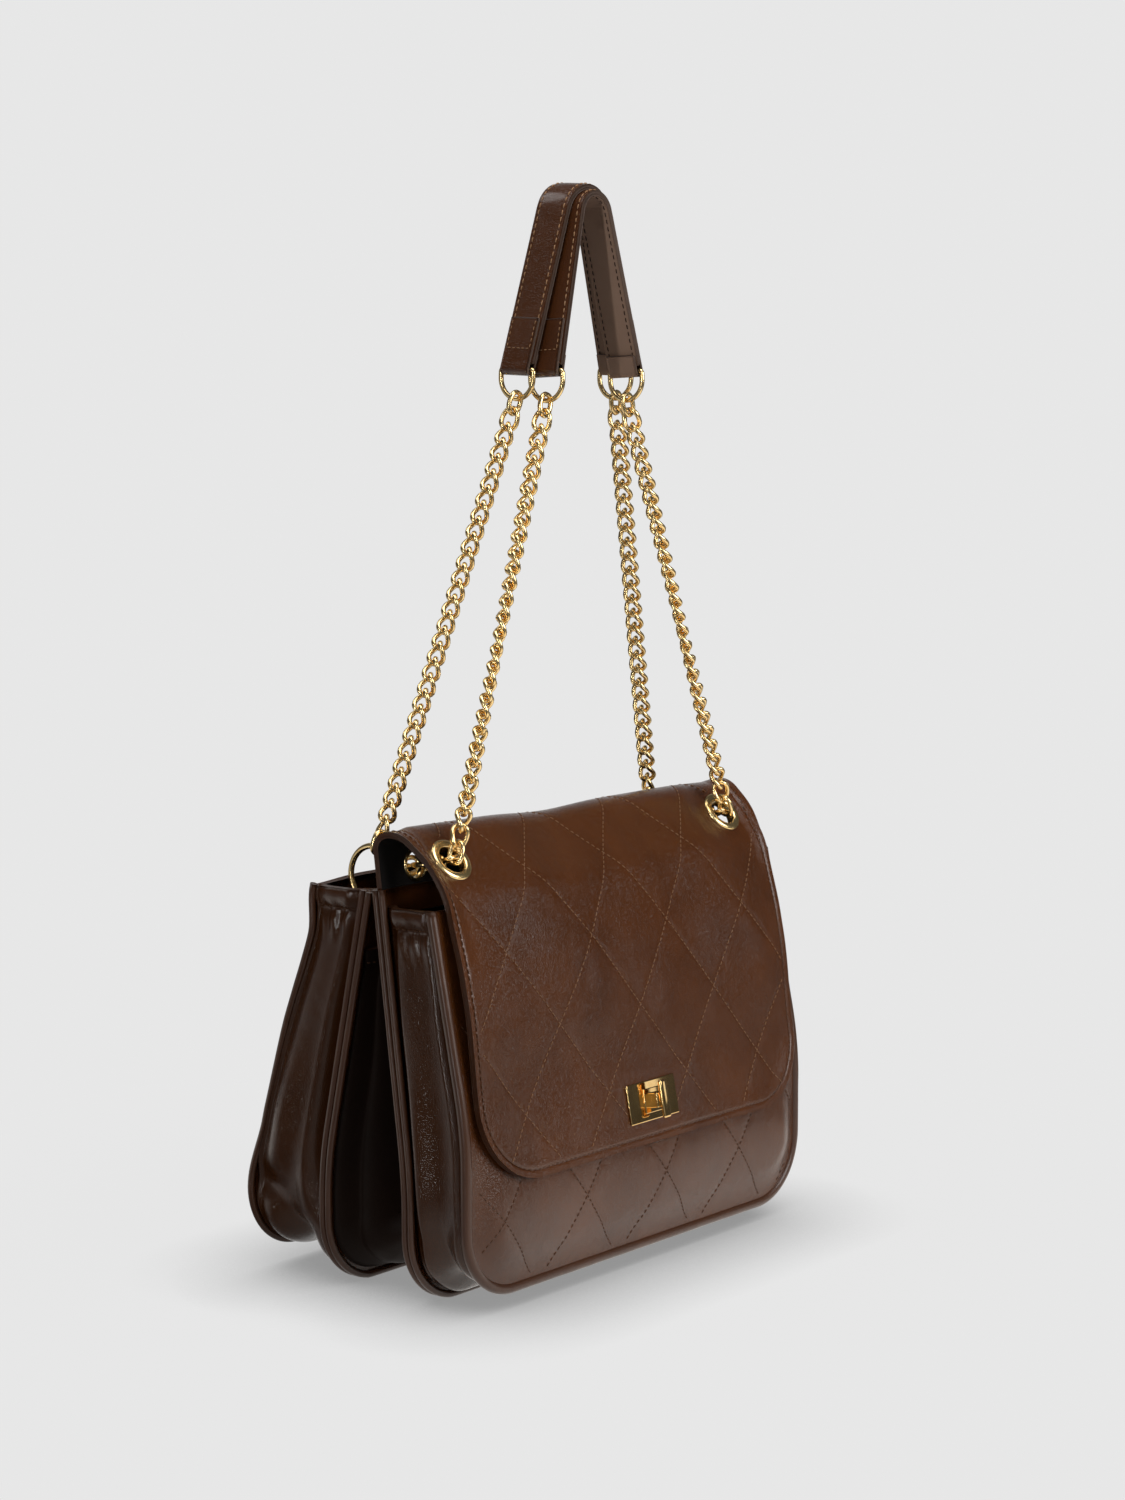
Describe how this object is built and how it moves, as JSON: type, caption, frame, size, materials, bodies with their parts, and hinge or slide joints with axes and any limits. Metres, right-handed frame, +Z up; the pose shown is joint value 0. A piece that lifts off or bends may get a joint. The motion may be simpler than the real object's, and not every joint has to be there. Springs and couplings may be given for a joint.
{
  "type": "chain shoulder bag",
  "caption": "Soft leather shoulder bag with accordion compartments, a quilted fold-over flap, a turn lock, and chain straps running through eyelets to leather shoulder pads.",
  "frame": {"origin": "on the floor under the middle of the bag, half way from the lock's knob to the back piping", "axes": "+Z up, -Y towards the front with the flap and lock, +X to the right as seen from the front"},
  "size_m": [0.26, 0.153, 0.5109],
  "materials": {
    "leather": "glossy fine-grain leather, dark reddish brown",
    "gusset": "soft glossy leather, dark reddish brown",
    "piping": "rolled leather edge, dark brown",
    "lining": "matt black lining",
    "pad_lining": "matt grey-brown leather",
    "gold": "polished pale gold plating"
  },
  "bodies": {
    "bag": {"back_lining": "lining", "back_panel": "leather", "back_piping": "piping", "bridge_lining": "lining", "divider_front": "leather", "divider_front_lining": "lining", "divider_front_piping": "piping", "divider_rear": "leather", "divider_rear_lining": "lining", "divider_rear_piping": "piping", "flap_bridge": "leather", "front_eyelet_left": "gold", "front_eyelet_right": "gold", "front_gusset": "gusset", "front_lining": "lining", "front_panel": "leather", "front_piping": "piping", "front_washer_left": "gold", "front_washer_right": "gold", "keeper": "gold", "middle_gusset": "gusset", "rear_eyelet_left": "gold", "rear_eyelet_right": "gold", "rear_gusset": "gusset", "rear_washer_left": "gold", "rear_washer_right": "gold", "stop_ring_left": "gold", "stop_ring_right": "gold", "tail_chain_left": "gold", "tail_chain_right": "gold"},
    "flap": {"flap": "leather", "flap_lining": "lining", "lock_plate": "gold", "lock_backplate": "gold"},
    "turn_knob": {"turn_knob": "gold", "knob_cam": "gold"},
    "front_chains": {"front_chain_left": "gold", "front_chain_right": "gold"},
    "front_pad": {"front_pad": "leather", "front_pad_lining": "pad_lining", "front_tab_left": "leather", "front_tab_right": "leather", "front_dring_left": "gold", "front_dring_right": "gold"},
    "rear_chains": {"rear_chain_left": "gold", "rear_chain_right": "gold"},
    "rear_pad": {"rear_pad": "leather", "rear_pad_lining": "pad_lining", "rear_tab_left": "leather", "rear_tab_right": "leather", "rear_dring_left": "gold", "rear_dring_right": "gold"}
  },
  "joints": [
    {"name": "flap_hinge", "type": "hinge", "parent": "bag", "child": "flap", "pos_m": [0, -0.03933, 0.19469], "axis": [-1, 0, 0], "range_deg": [0, 100]},
    {"name": "lock_turn", "type": "hinge", "parent": "flap", "child": "turn_knob", "pos_m": [0, -0.06526, 0.08], "axis": [0, -0.9802, 0.198], "range_deg": [0, 90]},
    {"name": "front_strap_swing", "type": "hinge", "parent": "bag", "child": "front_chains", "pos_m": [0, -0.03402, 0.20547], "axis": [1, 0, 0], "range_deg": [0, 45]},
    {"name": "front_pad_swing", "type": "hinge", "parent": "front_chains", "child": "front_pad", "pos_m": [0, -0.02733, 0.4193], "axis": [1, 0, 0], "range_deg": [0, 40]},
    {"name": "rear_strap_swing", "type": "hinge", "parent": "bag", "child": "rear_chains", "pos_m": [0, 0.01554, 0.19185], "axis": [-1, 0, 0], "range_deg": [0, 60]},
    {"name": "rear_pad_swing", "type": "hinge", "parent": "rear_chains", "child": "rear_pad", "pos_m": [0, -0.01533, 0.42022], "axis": [-1, 0, 0], "range_deg": [0, 40]}
  ]
}
